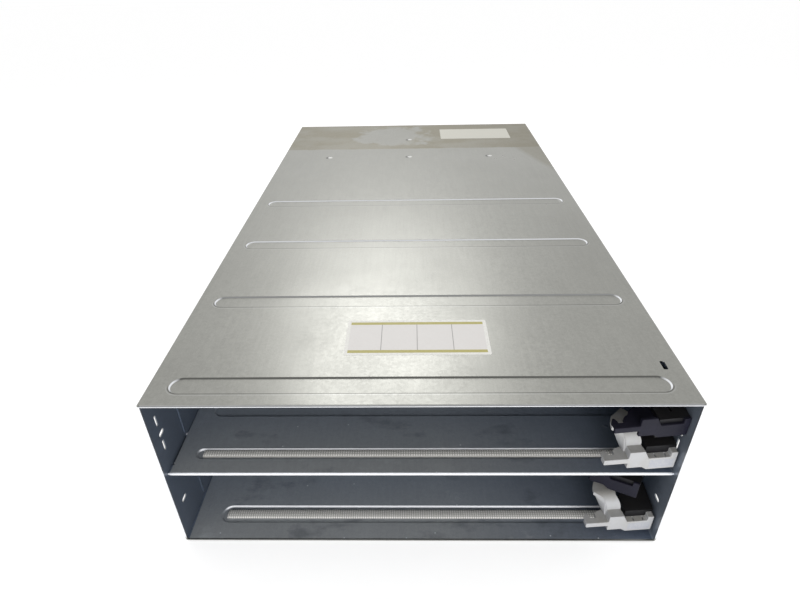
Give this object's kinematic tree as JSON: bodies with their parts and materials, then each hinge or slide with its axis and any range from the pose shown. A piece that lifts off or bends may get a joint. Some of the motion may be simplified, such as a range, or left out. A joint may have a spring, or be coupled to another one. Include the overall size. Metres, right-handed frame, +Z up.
{
  "type": "storage controller chassis",
  "caption": "Empty sheet-steel rack chassis with stacked front bays for controller modules, a midplane and hinged catch arms at the right of each bay.",
  "frame": {"origin": "middle of the face that the chassis rests on", "axes": "+Y from the open front to the rear, +X to the right seen from the front, +Z up"},
  "size_m": [0.445, 0.798, 0.1743],
  "materials": {
    "zinc_steel": "zinc-coated sheet steel, satin with a fine spangle",
    "bright_steel": "plain bright steel",
    "light_plastic": "moulded, fine matt grain",
    "dark_plastic": "moulded, fine matt grain",
    "black_plastic": "moulded, matt",
    "contact_cloth": "metallised woven cloth over foam",
    "board_laminate": "solder-masked glass laminate",
    "connector_plastic": "moulded, matt",
    "label_film": "printed film, matt"
  },
  "bodies": {
    "chassis": {"base_tray": "zinc_steel", "top_cover": "zinc_steel", "mid_shelf": "zinc_steel", "shelf_contact_strip": "contact_cloth", "floor_contact_strip": "contact_cloth", "lower_right_guide": "zinc_steel", "lower_left_guide": "zinc_steel", "upper_right_guide": "zinc_steel", "upper_left_guide": "zinc_steel", "cover_rivets": "bright_steel", "cover_screws": "bright_steel", "shelf_rivets": "bright_steel", "front_label": "label_film", "rear_label": "label_film", "midplane_bulkhead": "zinc_steel", "midplane_board": "board_laminate", "lower_board_connectors": "connector_plastic", "upper_board_connectors": "connector_plastic", "rear_board_connectors": "connector_plastic", "lower_guide_pins": "bright_steel", "upper_guide_pins": "bright_steel", "board_spacers": "bright_steel", "board_screws": "bright_steel", "rear_divider": "zinc_steel", "rear_left_shelf": "zinc_steel", "rear_right_shelf": "zinc_steel", "hinge_rivets": "bright_steel", "lower_hinge_bracket": "black_plastic", "lower_pivot_pin": "bright_steel", "upper_hinge_bracket": "black_plastic", "upper_pivot_pin": "bright_steel"},
    "lower_hook_arm": {"lower_hook_arm_front": "light_plastic", "lower_hook_arm_carrier": "black_plastic"},
    "lower_latch_arm": {"lower_latch_arm_front": "dark_plastic", "lower_latch_arm_carrier": "black_plastic"},
    "upper_hook_arm": {"upper_hook_arm_front": "light_plastic", "upper_hook_arm_carrier": "black_plastic"},
    "upper_latch_arm": {"upper_latch_arm_front": "dark_plastic", "upper_latch_arm_carrier": "black_plastic"}
  },
  "joints": [
    {"name": "lower_hook_arm_swing", "type": "hinge", "parent": "chassis", "child": "lower_hook_arm", "pos_m": [0.2166, -0.351, 0.0025], "axis": [0, 0, -1], "range_deg": [-2.5, 57.5]},
    {"name": "lower_latch_arm_swing", "type": "hinge", "parent": "chassis", "child": "lower_latch_arm", "pos_m": [0.2166, -0.351, 0.0025], "axis": [0, 0, -1], "range_deg": [-32, 28]},
    {"name": "upper_hook_arm_swing", "type": "hinge", "parent": "chassis", "child": "upper_hook_arm", "pos_m": [0.2166, -0.351, 0.08835], "axis": [0, 0, -1], "range_deg": [-1.5, 58.5]},
    {"name": "upper_latch_arm_swing", "type": "hinge", "parent": "chassis", "child": "upper_latch_arm", "pos_m": [0.2166, -0.351, 0.08835], "axis": [0, 0, -1], "range_deg": [0, 60]}
  ]
}
